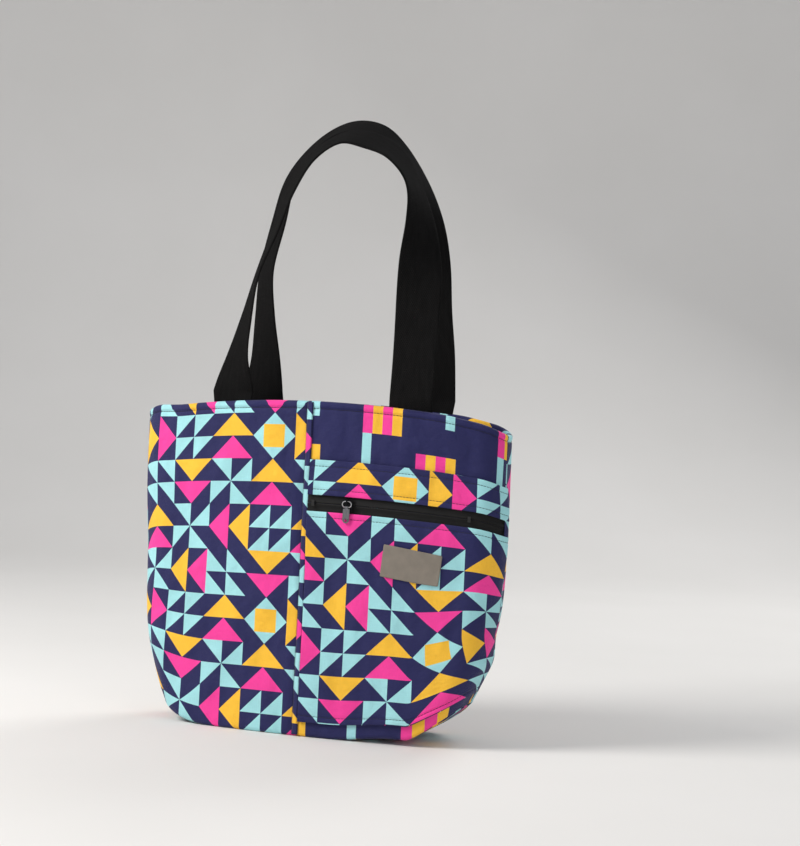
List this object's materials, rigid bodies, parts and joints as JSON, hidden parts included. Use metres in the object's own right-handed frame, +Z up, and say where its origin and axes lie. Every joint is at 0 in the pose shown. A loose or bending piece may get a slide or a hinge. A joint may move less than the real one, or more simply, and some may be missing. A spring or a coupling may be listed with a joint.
{
  "type": "tote bag",
  "caption": "Cotton tote bag with boxed corners, two webbing shoulder straps and a zipped slip pocket on its front.",
  "frame": {"origin": "middle of the base's underside, below the middle of the whole object's box", "axes": "+Z up, the front with the pocket faces -Y, the width runs along X"},
  "size_m": [0.3406, 0.1044, 0.5422],
  "materials": {
    "printed_cotton": "woven cotton with a bold geometric print",
    "navy_cotton": "woven cotton with stripe blocks",
    "foam": "fabric-backed foam stabiliser",
    "lining_cotton": "plain woven cotton",
    "webbing": "heavy cotton webbing",
    "zip_tape": "woven polyester tape",
    "zip_coil": "nylon coil",
    "plated_steel": "bright plating",
    "gunmetal": "satin dark plating",
    "label_leather": "matt imitation leather"
  },
  "bodies": {
    "bag": {"outer_front_left": "printed_cotton", "outer_front_right": "navy_cotton", "outer_back": "printed_cotton", "outer_base": "printed_cotton", "foam_front": "foam", "foam_back": "foam", "foam_base": "foam", "lining_front": "lining_cotton", "lining_back": "lining_cotton", "lining_base": "lining_cotton", "rim_facing_front": "lining_cotton", "rim_facing_back": "lining_cotton", "centre_seam_strip": "printed_cotton", "pocket_backing": "navy_cotton", "pocket_panel": "printed_cotton", "pocket_top_band": "printed_cotton", "zip_tape_upper": "zip_tape", "zip_tape_lower": "zip_tape", "zip_coil_upper": "zip_coil", "zip_coil_lower": "zip_coil", "zip_stop_left": "zip_coil", "zip_stop_right": "zip_coil", "label_patch": "label_leather", "strap_front_end_left": "webbing", "strap_front_end_right": "webbing", "strap_back_end_left": "webbing", "strap_back_end_right": "webbing"},
    "front_strap": {"strap_front": "webbing"},
    "back_strap": {"strap_back": "webbing"},
    "slider": {"zip_slider": "gunmetal"},
    "ring": {"zip_ring": "plated_steel"},
    "pull": {"zip_pull": "gunmetal"}
  },
  "joints": [
    {"name": "front_strap_fold", "type": "hinge", "parent": "bag", "child": "front_strap", "pos_m": [0, -0.0364, 0.29213], "axis": [1, 0, 0], "range_deg": [0, 110]},
    {"name": "back_strap_fold", "type": "hinge", "parent": "bag", "child": "back_strap", "pos_m": [0, 0.0364, 0.29213], "axis": [-1, 0, 0], "range_deg": [0, 110]},
    {"name": "zip_travel", "type": "hinge", "parent": "bag", "child": "slider", "pos_m": [0, 0.5168, -0.04341], "axis": [0, 0.3958, 0.9183], "range_deg": [-2.2, 9]},
    {"name": "ring_swing", "type": "hinge", "parent": "slider", "child": "ring", "pos_m": [0.04146, -0.05285, 0.20289], "axis": [0.0616, -0.998, 0.0128], "range_deg": [-40, 40]},
    {"name": "pull_lift", "type": "hinge", "parent": "ring", "child": "pull", "pos_m": [0.04133, -0.05292, 0.1979], "axis": [-0.9978, -0.0612, 0.0262], "range_deg": [0, 110]}
  ]
}
